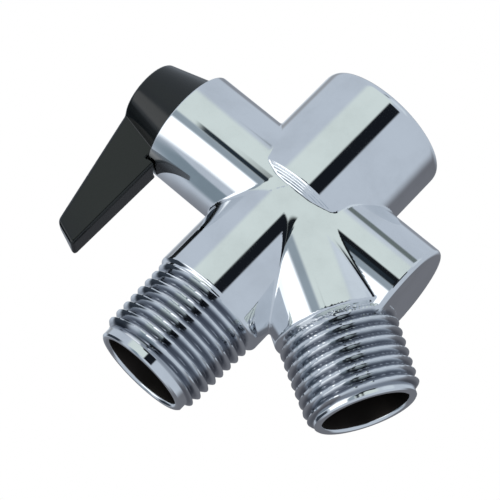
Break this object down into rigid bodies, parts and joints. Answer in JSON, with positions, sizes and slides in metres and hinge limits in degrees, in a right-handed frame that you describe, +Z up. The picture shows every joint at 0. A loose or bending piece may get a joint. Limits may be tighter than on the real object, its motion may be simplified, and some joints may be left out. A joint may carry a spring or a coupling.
{
  "type": "three way valve",
  "caption": "Chrome-plated shower-arm diverter valve with a female inlet, a straight and an angled male outlet, and a black quarter-turn lever.",
  "frame": {"origin": "middle of the inlet's end plane, on the inlet axis", "axes": "+Z up out of the inlet along its axis; X along the barrel, with the lever at -X and the closed end at +X; the angled outlet leans towards +X"},
  "size_m": [0.0728, 0.026, 0.0631],
  "materials": {
    "chrome_plate": "bright chrome plate on cast and turned brass",
    "black_plastic": "black moulded plastic, satin gloss",
    "brass": "bare machined brass",
    "steel": "stainless steel",
    "rubber": "black nitrile rubber",
    "white_plastic": "white low-friction plastic"
  },
  "bodies": {
    "valve": {"valve_body": "chrome_plate", "gland_nut": "brass", "thrust_washer": "white_plastic", "tail_bush": "white_plastic", "inlet_washer": "rubber", "inlet_screen": "steel"},
    "rotor": {"diverter_core": "brass", "stem_oring_outer": "rubber", "stem_oring_inner": "rubber", "straight_port_seal": "rubber", "straight_seal_backing": "steel", "straight_seal_spring": "steel", "angled_port_seal": "rubber", "angled_seal_backing": "steel", "angled_seal_spring": "steel", "stop_pin": "steel", "lever_handle": "black_plastic", "handle_screw": "steel", "lock_washer": "steel", "handle_cap": "black_plastic"}
  },
  "joints": [
    {"name": "lever_turn", "type": "hinge", "parent": "valve", "child": "rotor", "pos_m": [0, 0, -0.0234], "axis": [1, 0, 0], "range_deg": [0, 90]}
  ]
}
